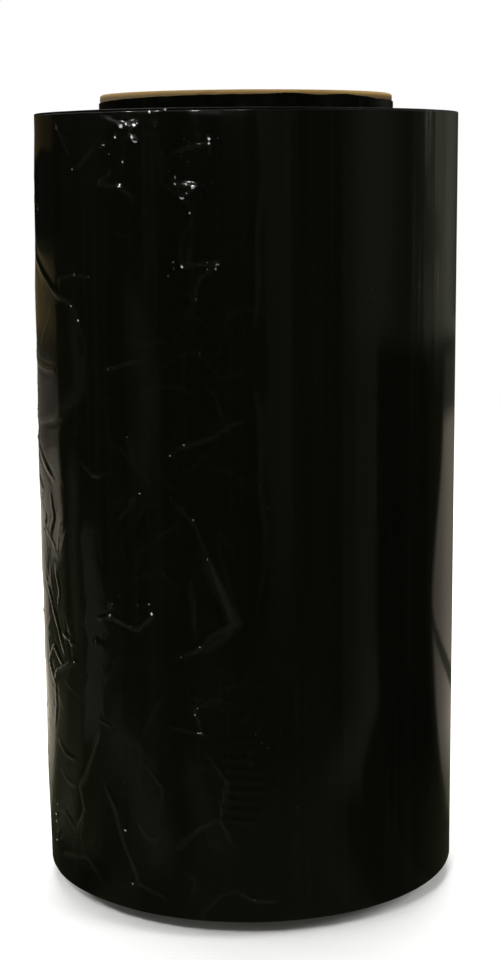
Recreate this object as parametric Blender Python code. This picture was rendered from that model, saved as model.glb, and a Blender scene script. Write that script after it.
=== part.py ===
"""A roll of stretch wrap: black film wound on a spiral-wound cardboard core.

The roll stands on one end of its core, with its axis on Z and its base at Z = 0.
A place round the roll is a share of a turn, counted from -X through -Y, so that
a quarter of a turn faces -Y.
"""

import math

import bmesh
import bpy
from mathutils import Vector
from mathutils.geometry import delaunay_2d_cdt

# Film and core, in metres
FILM_WIDTH = 0.250
CORE_BORE = 0.076
CORE_WALL = 0.0095
CORE_OVERHANG = 0.006
WINDING_CLEARANCE = 0.0003
FILM_BUILD = 0.0212

# Core rims and the butt seam of the paper ply that lines the bore
RIM_ROUND = 0.0007
SEAM_LEAD = 0.118
SEAM_WIDTH = 0.0016
SEAM_DEPTH = 0.00035
BORE_ROW = 0.030

# Ends of the winding: bands of turns, the rounded corner and the turns that climb the core
TURN_BAND = 0.0030
TURN_RIDGE = 0.00045
CORNER_ROUND = 0.0006
CLIMB_RUN = 0.0040
CLIMB_RISE = 0.0012
COLLAR_FILM = 0.0007
BARE_RIM = 0.00095
COLLAR_SAG = 0.00195

# Outer turn: how far it stands off where it is slack, its buckles, its free edge and its creases
SLACK_LIFT = 0.0009
BUCKLE_LIFT = 0.00025
LAP_STEP = 0.0003
LAP_RUN = 0.0008
CREASE_LIFT = 0.0011
CREASE_FLANK = 0.0017
CREASE_ROOM = 0.0034
SMOOTH_ROW = 0.025
CREASED_ROW = 0.0125

# Facets round the roll, the steps of the climbing turns, and the buckles in a whole turn
COLUMNS = 60
CLIMB_STEPS = 3
BUCKLES = 17
BUCKLE_SLANT = 0.6

# Where the outer turn is slack, as shares of a turn and of the film's width
SEAM_TURN_SHARE = 0.70
SLACK_TURN_SHARE = 0.04
SLACK_REACH_SHARE = 0.21
SLACK_HEIGHT_SHARE = 0.46
LAP_TURN_SHARE = 0.25

# How far the collar's edge sags, as shares of a turn and of COLLAR_SAG
COLLAR_EDGE_SHARES = (
    (0.00, 1.00), (0.09, 0.59), (0.16, 0.41), (0.20, 0.28), (0.27, 0.20), (0.30, 0.00), (0.33, 0.33),
    (0.36, 0.08), (0.40, 0.50), (0.42, 0.69), (0.44, 0.72), (0.50, 0.74), (0.62, 0.28), (0.76, 0.44), (0.90, 0.69),
)
LOWER_COLLAR_TURN_SHARE = 0.37

# Creases of the outer turn. A point is its share of a turn, of the film's width and of CREASE_LIFT
CREASE_SHARES = (
    # Top corner
    ((0.030, 0.955, -0.3), (0.056, 0.910, 0.5), (0.030, 0.896, -0.6), (0.048, 0.880, 0.4)),
    ((0.088, 0.986, 0.0), (0.108, 0.943, 0.6), (0.112, 0.925, -0.4), (0.136, 0.956, 0.5)),
    ((0.146, 0.932, 0.5), (0.139, 0.914, -0.5), (0.158, 0.910, 0.6), (0.168, 0.890, -0.3)),
    ((0.160, 0.980, 0.4), (0.168, 0.968, -0.4), (0.195, 0.980, 0.3)),
    ((0.200, 0.947, -0.3), (0.224, 0.959, 0.5), (0.213, 0.908, -0.5), (0.206, 0.886, 0.4)),
    # The long slanting crease and the two facets beside it
    (
        (0.012, 0.838, -0.6), (0.038, 0.816, 0.8), (0.081, 0.780, 0.7), (0.107, 0.762, 0.5), (0.115, 0.745, -0.3),
    ),
    ((0.090, 0.797, -0.4), (0.112, 0.802, 0.5), (0.128, 0.799, -0.3)),
    ((0.205, 0.834, 0.4), (0.206, 0.816, -0.5), (0.216, 0.777, 0.5), (0.230, 0.819, -0.2)),
    ((0.143, 0.690, -0.3), (0.158, 0.697, 0.6), (0.172, 0.701, -0.4)),
    ((0.010, 0.699, 0.5), (0.040, 0.688, -0.6), (0.062, 0.678, 0.4), (0.079, 0.680, -0.3)),
    # The curved ridge and the crumple under it
    (
        (0.008, 0.592, -0.7), (0.040, 0.598, 0.7), (0.079, 0.611, 0.8), (0.103, 0.632, 0.7), (0.117, 0.660, 0.3),
    ),
    ((0.030, 0.575, 0.4), (0.050, 0.555, -0.6), (0.076, 0.536, 0.6)),
    (
        (0.033, 0.540, -0.5), (0.053, 0.507, 0.6), (0.050, 0.480, -0.5), (0.053, 0.454, 0.6), (0.070, 0.444, -0.3),
    ),
    ((0.195, 0.589, -0.4), (0.203, 0.602, 0.5), (0.222, 0.611, -0.3), (0.238, 0.628, 0.4)),
    ((0.171, 0.539, 0.4), (0.153, 0.506, -0.5), (0.150, 0.480, 0.3)),
    # The arrowhead
    (
        (0.211, 0.510, 0.4), (0.218, 0.480, -0.4), (0.221, 0.464, 0.6), (0.240, 0.386, 0.7), (0.222, 0.366, -0.5),
    ),
    ((0.217, 0.357, 0.5), (0.201, 0.340, -0.5), (0.186, 0.352, 0.3)),
    ((0.144, 0.382, 0.5), (0.161, 0.385, -0.4), (0.179, 0.391, 0.6), (0.190, 0.400, -0.3)),
    (
        (0.120, 0.345, -0.3), (0.100, 0.308, 0.6), (0.074, 0.284, -0.5), (0.064, 0.268, 0.5), (0.020, 0.330, -0.4),
    ),
    # Foot of the roll
    ((0.221, 0.286, 0.5), (0.212, 0.276, -0.4), (0.216, 0.245, 0.6), (0.194, 0.249, -0.4)),
    (
        (0.131, 0.222, 0.5), (0.113, 0.162, 0.4), (0.106, 0.144, -0.4), (0.112, 0.112, 0.6), (0.098, 0.078, -0.3),
    ),
    ((0.070, 0.187, -0.4), (0.099, 0.177, 0.5)),
    ((0.069, 0.108, 0.6), (0.062, 0.070, -0.5), (0.063, 0.030, 0.4)),
    ((0.150, 0.160, -0.4), (0.158, 0.120, 0.4), (0.164, 0.060, -0.4), (0.172, 0.030, 0.3)),
    ((0.214, 0.100, 0.4), (0.198, 0.060, -0.4), (0.185, 0.020, 0.3)),
    # Behind the silhouette, where the slack fades out
    ((0.985, 0.800, 0.5), (0.965, 0.740, -0.5), (0.940, 0.720, 0.3)),
    ((0.975, 0.560, -0.6), (0.955, 0.500, 0.6), (0.965, 0.420, -0.4), (0.940, 0.380, 0.3)),
    ((0.985, 0.250, 0.5), (0.960, 0.200, -0.5), (0.935, 0.210, 0.3)),
    ((0.905, 0.620, 0.3), (0.890, 0.560, -0.3), (0.870, 0.540, 0.2)),
)

core_radius = CORE_BORE / 2 + CORE_WALL
core_top = FILM_WIDTH + 2 * CORE_OVERHANG
film_foot = CORE_OVERHANG
film_top = CORE_OVERHANG + FILM_WIDTH
collar_bore = core_radius + WINDING_CLEARANCE
collar_radius = collar_bore + COLLAR_FILM
film_radius = collar_bore + FILM_BUILD


def clear_scene():
    for old in list(bpy.data.objects):
        bpy.data.objects.remove(old, do_unlink=True)


def principled(name, colour, roughness):
    material = bpy.data.materials.new(name)
    material.use_nodes = True
    shader = material.node_tree.nodes["Principled BSDF"]
    shader.inputs["Base Color"].default_value = (*colour, 1.0)
    shader.inputs["Roughness"].default_value = roughness
    shader.inputs["Metallic"].default_value = 0.0
    return material


def on_roll(turn, radius, height):
    angle = math.tau * turn
    return Vector((-radius * math.cos(angle), -radius * math.sin(angle), height))


def add_ring(bm, radius, height_at):
    """One vertex for each column, at a radius and at the height that height_at gives for its turn."""
    turns = [column / COLUMNS for column in range(COLUMNS)]
    return [bm.verts.new(on_roll(turn, radius, height_at(turn))) for turn in turns]


def join_rings(bm, first, second):
    for column in range(COLUMNS):
        after = (column + 1) % COLUMNS
        bm.faces.new((first[column], first[after], second[after], second[column]))


def turned_strip(bm, profile):
    """Joins a ring for each (radius, height) of the profile to the one before it."""
    rings = [add_ring(bm, radius, lambda turn, z=height: z) for radius, height in profile]
    for first, second in zip(rings, rings[1:]):
        join_rings(bm, first, second)


def corner_profile(radius, height, inward, upward, size):
    """A quarter round of three points, from the wall at this radius to the end face at this height."""
    middle = size * (1 - math.cos(math.radians(45)))
    return (
        (radius, height - upward * size),
        (radius + inward * middle, height - upward * middle),
        (radius + inward * size, height),
    )


def grid_points(length, low, high, row_at):
    """The points of a wall laid flat, with rows as row_at allows: those on its outline, and the rest."""
    outline, inner = [], []
    for column in range(COLUMNS + 1):
        across = length * column / COLUMNS
        rows = max(2, round((high - low) / row_at(column % COLUMNS / COLUMNS)))
        between = [(across, low + (high - low) * row / rows) for row in range(1, rows)]
        outline += [(across, low), (across, high)]
        if column % COLUMNS:
            inner += between
        else:
            outline += between
    return outline, inner


def clear_of(point, drawn, room):
    across, up = point
    return all(math.hypot(across - x, up - y) > room for x, y, _ in drawn)


def wrap_wall(bm, grid, lines, room, to_roll):
    """Triangulates a wall laid flat round the lines drawn on it, then rolls it up.

    A line is a list of (across, up, lift), and to_roll turns a flat place and a lift into a point.
    """
    outline, inner = grid
    drawn = [point for line in lines for point in line]
    kept = outline + [point for point in inner if clear_of(point, drawn, room)]
    flat = [Vector(point) for point in kept]
    lifts = [0.0] * len(kept)
    strokes = []
    for line in lines:
        first = len(flat)
        flat += [Vector((across, up)) for across, up, _ in line]
        lifts += [lift for _, _, lift in line]
        strokes += [(first + step, first + step + 1) for step in range(len(line) - 1)]
    weld = WINDING_CLEARANCE / 1000
    places, _, faces, sources, _, _ = delaunay_2d_cdt(flat, strokes, [], 0, weld)
    verts = []
    for place, source in zip(places, sources):
        lift = max((lifts[index] for index in source), key=abs, default=0.0)
        verts.append(bm.verts.new(to_roll(place.x, place.y, lift)))
    for face in faces:
        bm.faces.new([verts[index] for index in face])


def bore_wall(bm):
    """The bore, with the butt seam of its lining ply as a shallow helical groove."""
    radius = CORE_BORE / 2
    length = math.tau * radius
    low, high = RIM_ROUND, core_top - RIM_ROUND
    lines = []
    turns = math.ceil(core_top / SEAM_LEAD) + 1
    for lap in range(-1, turns):
        for side, lift in ((-1, 0.0), (0, SEAM_DEPTH), (1, 0.0)):
            line = []
            for column in range(COLUMNS + 1):
                up = (lap + column / COLUMNS) * SEAM_LEAD + side * SEAM_WIDTH / 2
                if low + SEAM_WIDTH < up < high - SEAM_WIDTH:
                    line.append((column * length / COLUMNS, up, lift))
            if len(line) > 1:
                lines.append(line)
    grid = grid_points(length, low, high, lambda turn: BORE_ROW)

    def to_roll(across, up, lift):
        return on_roll(across / length, radius + lift, up)

    wrap_wall(bm, grid, lines, 2 * SEAM_WIDTH, to_roll)


def rim_profile(height, upward):
    """A rounded rim of the tube, from the bore to the outer wall."""
    inner = corner_profile(CORE_BORE / 2, height, 1, upward, RIM_ROUND)
    outer = corner_profile(core_radius, height, -1, upward, RIM_ROUND)
    return inner + outer[::-1]


def core_mesh():
    """The cardboard tube: its bore, two rounded rims and its outer wall."""
    bm = bmesh.new()
    bore_wall(bm)
    turned_strip(bm, rim_profile(0.0, -1) + rim_profile(core_top, 1)[::-1])
    return bm


def collar_sag(turn):
    """How far the collar's edge lies below its highest point, read round the roll."""
    turn %= 1.0
    table = COLLAR_EDGE_SHARES + ((1.0, COLLAR_EDGE_SHARES[0][1]),)
    for (start, first), (end, second) in zip(table, table[1:]):
        if start <= turn <= end:
            return COLLAR_SAG * (first + (second - first) * (turn - start) / (end - start))
    return 0.0


def wound_end(bm, face, upward):
    """The end of the winding: a ridge for each band of turns, as one spiral from the core to the corner."""
    inner, outer = collar_radius + CLIMB_RUN, film_radius - CORNER_ROUND
    half = TURN_BAND / 2
    rows = 4 + math.ceil((outer - inner) / half)
    grid = []
    for row in range(rows):
        line = []
        for column in range(COLUMNS):
            radius = inner + (row - 2 + 2 * column / COLUMNS) * half
            radius = min(max(radius, inner), outer)
            fade = min(1.0, (radius - inner) / half, (outer - radius) / half)
            ridge = TURN_RIDGE * fade * (row % 2)
            line.append(bm.verts.new(on_roll(column / COLUMNS, radius, face + upward * ridge)))
        grid.append(line)
    for row in range(rows - 1):
        for column in range(COLUMNS - 1):
            near, far = grid[row], grid[row + 1]
            bm.faces.new((near[column], near[column + 1], far[column + 1], far[column]))
        if row + 3 < rows:
            last = (grid[row][-1], grid[row + 2][0], grid[row + 3][0], grid[row + 1][-1])
            bm.faces.new(last)


def film_end(bm, face, upward, turn_offset):
    """One end of the film: corner, spiral face, the climbing turns and the collar's uneven edge."""
    corner = corner_profile(film_radius, face, -1, upward, CORNER_ROUND)
    turned_strip(bm, corner)
    wound_end(bm, face, upward)
    climb = []
    for step in range(CLIMB_STEPS + 1):
        share = 1 - step / CLIMB_STEPS
        climb.append((collar_radius + CLIMB_RUN * share, face + upward * CLIMB_RISE * (1 - share) ** 2))
    turned_strip(bm, climb)
    reach = CORE_OVERHANG - BARE_RIM

    def edge_height(turn):
        return face + upward * (reach - collar_sag(turn + turn_offset))

    foot = add_ring(bm, collar_radius, lambda turn: face + upward * CLIMB_RISE)
    outside = add_ring(bm, collar_radius, edge_height)
    inside = add_ring(bm, collar_bore, edge_height)
    join_rings(bm, foot, outside)
    join_rings(bm, outside, inside)
    return inside


def turn_distance(turn, other):
    """The signed share of a turn from other to turn, the short way round."""
    return (turn - other + 0.5) % 1.0 - 0.5


def slack(turn, up_share):
    """How far the outer turn stands off the winding: most at its slack side, nothing at the film's edges."""
    swell = math.sin(math.pi * min(max(up_share, 0.0), 1.0) ** (math.log(0.5) / math.log(SLACK_HEIGHT_SHARE)))
    away = abs(turn_distance(turn, SLACK_TURN_SHARE)) / SLACK_REACH_SHARE
    hump = math.cos(math.pi / 2 * min(away, 1.0)) ** 2
    buckle = math.cos(math.tau * (BUCKLES * turn + BUCKLE_SLANT * up_share))
    return (SLACK_LIFT + BUCKLE_LIFT * buckle) * hump * swell


def lap(turn, up_share):
    """The free edge's step: whole from the slack side's start to the edge, and fading at the film's edges."""
    start = SLACK_TURN_SHARE - SLACK_REACH_SHARE
    along = round(turn_distance(turn, start) / turn_distance(LAP_TURN_SHARE, start), 6)
    if not 0.0 <= along <= 1.0:
        return 0.0
    return LAP_STEP * min(1.0, 4 * along) * min(1.0, up_share * COLUMNS, (1 - up_share) * COLUMNS)


def spindle(crease):
    """A crease's ridge line and, at its inner points, the foot of its flank on each side."""
    feet = {1: [crease[0]], -1: [crease[0]]}
    for before, (across, up, _), after in zip(crease, crease[1:], crease[2:]):
        run, rise = after[0] - before[0], after[1] - before[1]
        out = CREASE_FLANK / math.hypot(run, rise)
        for side, line in feet.items():
            line.append((across - side * rise * out, up + side * run * out, 0.0))
    return [crease] + [line + [crease[-1]] for line in feet.values()]


def outer_turn(bm):
    """The outer wall of the winding, with its creases, its slack side and its free edge."""
    length = math.tau * film_radius
    low, high = film_foot + CORNER_ROUND, film_top - CORNER_ROUND
    height = high - low

    def flat(turn, up_share, lift=0.0):
        return ((turn - SEAM_TURN_SHARE) % 1.0 * length, low + up_share * height, lift)

    lines = []
    for crease in CREASE_SHARES:
        lines += spindle([flat(turn, up, lift * CREASE_LIFT) for turn, up, lift in crease])
    rows = round(height / CREASED_ROW)
    edge = [flat(LAP_TURN_SHARE, row / rows) for row in range(rows + 1)]
    beside = [(across + LAP_RUN, up, lift) for across, up, lift in edge[1:-1]]
    lines += [edge, [edge[0]] + beside + [edge[-1]]]

    def row_at(share):
        turn = share + SEAM_TURN_SHARE
        near = abs(turn_distance(turn, SLACK_TURN_SHARE)) < SLACK_REACH_SHARE
        return CREASED_ROW if near else SMOOTH_ROW

    def to_roll(across, up, lift):
        turn = across / length + SEAM_TURN_SHARE
        up_share = (up - low) / height
        radius = film_radius + slack(turn, up_share) + lap(turn, up_share) + lift
        return on_roll(turn, radius, up)

    grid = grid_points(length, low, high, row_at)
    wrap_wall(bm, grid, lines, CREASE_ROOM, to_roll)


def film_mesh():
    """The winding as one body: outer turn, two spiral ends, two collars and the bore on the core."""
    bm = bmesh.new()
    outer_turn(bm)
    lower = film_end(bm, film_foot, -1, LOWER_COLLAR_TURN_SHARE)
    upper = film_end(bm, film_top, 1, 0.0)
    join_rings(bm, lower, upper)
    return bm


def finish(name, bm, material, sharp_angle):
    """Closes the mesh, turns its faces outwards and puts it in the scene."""
    bmesh.ops.remove_doubles(bm, verts=bm.verts, dist=WINDING_CLEARANCE / 100)
    bmesh.ops.dissolve_degenerate(bm, edges=bm.edges, dist=WINDING_CLEARANCE / 100)
    bmesh.ops.triangulate(bm, faces=bm.faces)
    bmesh.ops.recalc_face_normals(bm, faces=bm.faces)
    mesh = bpy.data.meshes.new(name)
    bm.to_mesh(mesh)
    bm.free()
    mesh.shade_smooth()
    mesh.set_sharp_from_angle(angle=math.radians(sharp_angle))
    mesh.materials.append(material)
    piece = bpy.data.objects.new(name, mesh)
    bpy.context.scene.collection.objects.link(piece)
    return piece


def main():
    clear_scene()
    cardboard = principled("kraft_cardboard", (0.40, 0.30, 0.18), 0.85)
    film = principled("black_stretch_film", (0.008, 0.008, 0.007), 0.16)
    finish("core", core_mesh(), cardboard, sharp_angle=40)
    finish("film", film_mesh(), film, sharp_angle=15)


main()
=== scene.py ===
import math

import bmesh
import bpy
import numpy as np
from bpy.props import FloatProperty, FloatVectorProperty, IntProperty, PointerProperty
from mathutils import Matrix, Vector
from mathutils.geometry import delaunay_2d_cdt


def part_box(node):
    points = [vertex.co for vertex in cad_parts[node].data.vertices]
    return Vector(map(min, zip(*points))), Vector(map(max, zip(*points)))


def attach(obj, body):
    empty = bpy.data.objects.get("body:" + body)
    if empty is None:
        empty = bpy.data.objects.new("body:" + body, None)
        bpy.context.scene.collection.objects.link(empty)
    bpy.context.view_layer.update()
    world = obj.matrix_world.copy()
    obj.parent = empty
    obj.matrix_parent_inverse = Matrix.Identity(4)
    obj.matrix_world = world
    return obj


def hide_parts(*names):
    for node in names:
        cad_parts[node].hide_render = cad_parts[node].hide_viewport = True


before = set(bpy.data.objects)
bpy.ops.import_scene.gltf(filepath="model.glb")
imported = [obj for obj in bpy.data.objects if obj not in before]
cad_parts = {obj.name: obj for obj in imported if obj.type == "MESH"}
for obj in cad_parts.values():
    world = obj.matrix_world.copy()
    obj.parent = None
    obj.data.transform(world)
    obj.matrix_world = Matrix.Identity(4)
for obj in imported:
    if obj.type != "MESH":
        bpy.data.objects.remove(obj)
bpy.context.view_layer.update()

bl_info = {
    "name": "Stretch wrap roll",
    "version": (1, 0, 0),
    "blender": (4, 5, 0),
    "location": "3D View > Sidebar > Stretch wrap",
    "description": "Dresses a roll of black stretch film on its cardboard core, on a plain studio floor",
    "category": "Object",
}

# Lengths are in metres and angles in degrees from -X towards -Y, where nothing else is said
MM = 0.001
NEAR = 0.05 * MM
LEVEL = 0.001 * MM

# The core, and the wound film's outer radius and two end faces
CORE_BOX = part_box("core")
CORE_RADIUS = (CORE_BOX[1].x - CORE_BOX[0].x) / 2
CORE_TOP = CORE_BOX[1].z
SEAM_PITCH = 118 * MM
FILM_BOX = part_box("film")
FILM_RADIUS = FILM_BOX[1].x
FILM_WIDTH = 250 * MM
OVERHANG = (CORE_TOP - CORE_BOX[0].z - FILM_WIDTH) / 2
FACE_TOP = CORE_TOP - OVERHANG
FACE_FOOT = CORE_BOX[0].z + OVERHANG

# The thin collars on the core, and the first turns, which climb to them
BORE_RADIUS = CORE_RADIUS + 0.12 * MM
COLLAR_RADIUS = BORE_RADIUS + 0.25 * MM
COLLAR_WRINKLE = 0.05 * MM
COLLAR_RAG = 0.05 * MM
LOWER_COLLAR_TURN = 133
CLIMB_RUN = 4.0 * MM
CLIMB_RISE = 0.7 * MM
TURN_RIDGE = 0.25 * MM
TURN_THICKNESS = 0.42 * MM

# Cuts that make the rows of faces
WALL_CUTS = 3
END_CUTS = 20
COLLAR_CUTS = 5
CORNER_SEGMENTS = 3

# Where the outer turn is slack, how it buckles, and the step of its free edge
SLACK_ANGLE = 14.4
SLACK_REACH = 75.6
SLACK_HEIGHT = 0.46
BUCKLES = 17
BUCKLE_SLANT = 0.6
BUCKLE_LIFT = 0.25 * MM
LAP_ANGLE = 93.0
LAP_STEP = 0.12 * MM

# Small folds, raised points and facets of the slack film, with lengths in mm
SEED = 11
SMALL_CREASES = 190
CREASE_HEIGHT_SHARE = 0.75
CREASE_FLANK_SHARE = 0.70
FOLD_WIDTH = 0.45
POINT_RADIUS = 0.82
SATELLITE_REACH = 2.6
SATELLITE_TOP = 251.0
COARSE_FACETS = 17.0
FINE_FACETS = 7.0
FACETS_FROM = np.array((-95.0, -5.0))
FACETS_TO = np.array((125.0, 270.0))
TIGHT_STRIP = 46.0
TIGHT_STRIP_WIDTH = 8.0

# The floor, and the dark wall that only reflections see, with the small lamps along its top
FLOOR_SWEEP = 0.5
FLAG_GAP = 2 * MM
FLAG_APRON = 50 * MM
APRON_FALL = 0.35
# The small lamps' angles are from the front, and grow to the right
SPARK_ANGLES = range(-118, 15, 19)
SPARK_TARGET = (0.0, 0.0, 0.15)
SPARK_SIZE = (20 * MM, 12 * MM)

# Each lamp's name, place, target, size, power in watts, and whether the film mirrors it
LAMPS = (
    ("back_softbox", (0.0, 0.95, 1.25), (0.0, 1.1, 0.0), (0.9, 1.6), 34.0, False),
    ("front_lamp", (-0.30, -1.15, 0.95), (0.0, 0.0, 0.15), (0.16, 0.16), 9.0, True),
    ("side_lamp", (0.95, -0.45, 0.75), (0.0, 0.0, 0.2), (0.5, 0.5), 8.0, False),
)
WORLD_COLOUR = (1.0, 0.99, 0.97, 1.0)
WORLD_STRENGTH = 0.28
WHITE = (1.0, 1.0, 1.0, 1.0)

# The photograph's camera: its place, its turns, and its sensor's width in mm
CAMERA_PLACE = (0.0, -0.6159, 0.2391)
CAMERA_YAW = 0.082
CAMERA_PITCH = 9.627
CAMERA_ROLL = -0.357
SENSOR_WIDTH = 36.0

# Where the columns of faces are crowded: the angle, and the columns for each degree
CROWDING = (
    (-180, 0.24), (-75, 0.26), (-45, 0.55), (-12, 1.0), (-2, 1.5), (98, 1.5), (106, 0.30), (180, 0.24),
)

# Bare board above the upper collar's edge: the angle, and the height in mm
COLLAR_EDGE = (
    (0, 2.9), (34, 2.1), (56, 1.75), (73, 1.5), (97, 1.35), (107, 0.95), (117, 1.6), (129, 1.1),
    (145, 1.9), (150, 2.3), (153, 1.9), (157, 2.4), (161, 2.1), (170, 2.5), (180, 2.4), (223, 1.5),
    (274, 1.8), (324, 2.3), (360, 2.9),
)

# Creases of the slack outer turn, read along each line as (degrees round from -X to -Y, height in mm).
# The first two numbers of a crease are its height and the width of its flanks, in mm.
CREASES = (
    # Top corner
    (0.35, 1.6, (32, 253), (35, 248), (39, 242)),
    (0.30, 1.5, (40, 238), (45, 241), (49, 245)),
    (0.40, 1.4, (53, 239), (54, 237), (50, 234), (57, 233), (61, 230), (60, 228)),
    (0.35, 1.2, (56, 255.5), (66, 255), (70, 255.5)),
    (0.40, 1.3, (51, 254), (58, 251), (61, 251), (60, 248), (62, 246)),
    (0.35, 1.4, (72, 243), (81, 246), (81, 242)),
    (0.45, 1.4, (73, 236), (72, 234), (77, 233), (75, 231), (74, 230), (76, 228)),
    (0.50, 1.8, (20, 234), (11, 230), (17, 226), (12, 221)),
    # The long slanting crease with its facet, and the lines that meet it
    (0.95, 3.2, (8, 214), (14, 210), (29, 201), (39, 197), (42, 192)),
    (0.35, 1.3, (46, 206), (40, 206.5), (33, 205), (33, 201.5)),
    (0.30, 1.2, (29, 199), (24, 190), (16, 181)),
    (0.40, 1.3, (74, 215), (74, 210), (83, 211), (78, 206), (77, 200), (75, 202)),
    (0.30, 1.1, (76, 216), (75, 210)),
    (0.40, 1.2, (51, 178), (57, 180), (62, 181.5)),
    (0.55, 1.8, (3, 190), (6, 181), (12, 177), (22, 175.5), (29, 176)),
    # The dark curved fold low on the bright side, its branch and the jagged line under it
    (-0.45, 5.0, (2, 154), (6, 154), (28, 159), (37, 164), (41, 169), (43, 175)),
    (0.60, 1.8, (11, 157), (14, 150), (21, 144), (27, 140)),
    (0.55, 1.2, (10, 172), (14, 166), (11, 160), (14, 155), (12, 149)),
    (0.60, 1.1, (12, 149), (16, 144), (14, 140), (18, 136), (16, 131), (20, 127), (17, 123), (19, 118)),
    (0.55, 1.3, (17, 124), (21, 121.5), (27, 117.5)),
    (0.45, 1.4, (22, 122), (26, 128), (24, 136)),
    (0.30, 1.4, (43, 175), (44, 186), (41, 192)),
    # Middle of the slack side
    (0.35, 1.4, (70, 153), (73, 156), (81, 159), (86, 163), (91, 165)),
    (0.40, 1.4, (61, 141), (58, 136), (55, 132)),
    (0.30, 1.3, (70, 140), (76, 133), (78, 127), (80, 122)),
    (0.45, 2.4, (80, 122), (83, 112), (86, 102)),
    (0.40, 1.4, (86, 102), (80, 98), (78, 95), (76, 93), (72, 91)),
    (0.30, 1.6, (75, 116), (76, 106), (76, 98)),
    (0.55, 1.5, (64, 105), (65, 103.5), (60, 98), (52, 101)),
    (0.35, 1.3, (52, 105), (52, 101), (46, 99)),
    (0.30, 1.3, (41, 149), (46, 145), (52, 146)),
    # Fan of facets under the bright side
    (0.60, 2.0, (36, 83), (30, 79), (26, 77), (23, 73)),
    (0.45, 1.5, (30, 91), (34, 90), (37, 88)),
    (0.45, 1.6, (24, 98), (27, 92), (31, 84)),
    (0.40, 1.4, (33, 97), (35, 91), (36, 84)),
    (0.50, 1.6, (23, 73), (20, 79), (24, 85), (30, 79)),
    (0.35, 1.4, (24, 73), (24, 64), (22, 57)),
    (0.40, 1.4, (17, 108), (22, 101), (26, 92)),
    (0.40, 1.4, (26, 112), (29, 104), (27, 98)),
    # Foot of the roll
    (0.35, 1.4, (80, 77.5), (76, 75), (76, 73), (78, 67), (70, 68)),
    (0.50, 1.7, (47, 62), (41, 46), (38, 42), (40, 34), (35, 25), (28, 31)),
    (0.35, 1.3, (53, 67), (51, 65), (46, 66)),
    (0.45, 1.5, (25, 53), (30, 50), (36, 50)),
    (0.40, 1.5, (26, 44), (31, 41), (37, 41)),
    (0.45, 1.4, (26, 30), (30, 29), (35, 26)),
    (0.55, 1.2, (25, 33), (23, 27), (24, 22), (22, 18), (23, 12)),
    (0.35, 1.4, (39, 18), (37, 25), (40, 34)),
    (0.45, 2.0, (47, 47), (52, 38), (55, 26), (60, 15)),
    (0.35, 1.6, (58, 37), (62, 31), (66, 30)),
    (0.35, 1.4, (60, 57), (67, 48), (66, 40)),
    (0.35, 1.5, (47, 12), (40, 18), (28, 14.5), (23, 12)),
    (0.30, 1.3, (59, 17), (58, 15), (62, 14.5), (67, 12)),
    (0.30, 1.6, (86, 30), (82, 40), (84, 52), (79, 60)),
    (0.30, 1.5, (70, 28), (76, 36), (82, 40)),
    (0.25, 1.2, (86, 16), (91, 13), (97, 12.5)),
    # Round the left side, out of the photograph's view
    (0.60, 2.2, (-6, 206), (-13, 191), (-22, 186)),
    (0.60, 2.0, (-9, 146), (-16, 131), (-12, 111), (-22, 101)),
    (0.50, 2.0, (-5, 69), (-14, 56), (-23, 59)),
    (0.35, 2.0, (-34, 161), (-40, 146), (-47, 141)),
    (0.40, 1.8, (2, 96), (-3, 88), (3, 80), (8, 74)),
)

# Planes of the slack film that are painted paler as a sheen, as a width and a strength, then (degrees, height
# in mm)
SHEENS = (
    (10.0, 0.5, (52, 70), (56, 56), (62, 38), (69, 20)),
    (4.0, 0.6, (38, 150), (37, 118), (38, 92)),
    (6.0, 0.5, (22, 62), (30, 40), (34, 14)),
    (5.0, 0.25, (84, 26), (78, 40), (74, 60)),
    (2.5, 0.5, (78, 124), (87, 102), (78, 92)),
    (6.0, 0.35, (60, 205), (64, 170), (62, 140)),
    (4.0, 0.4, (38, 196), (42, 172), (30, 160)),
)

# Ladders of fine ripples: middle and reach in degrees and in mm, ripple spacing and height in mm
RIPPLES = (
    (87, 9, 52, 26, 3.3, 0.050),
    (110, 3.5, 157, 20, 2.2, 0.020),
    (60, 14, 212, 22, 4.1, 0.020),
)
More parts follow.
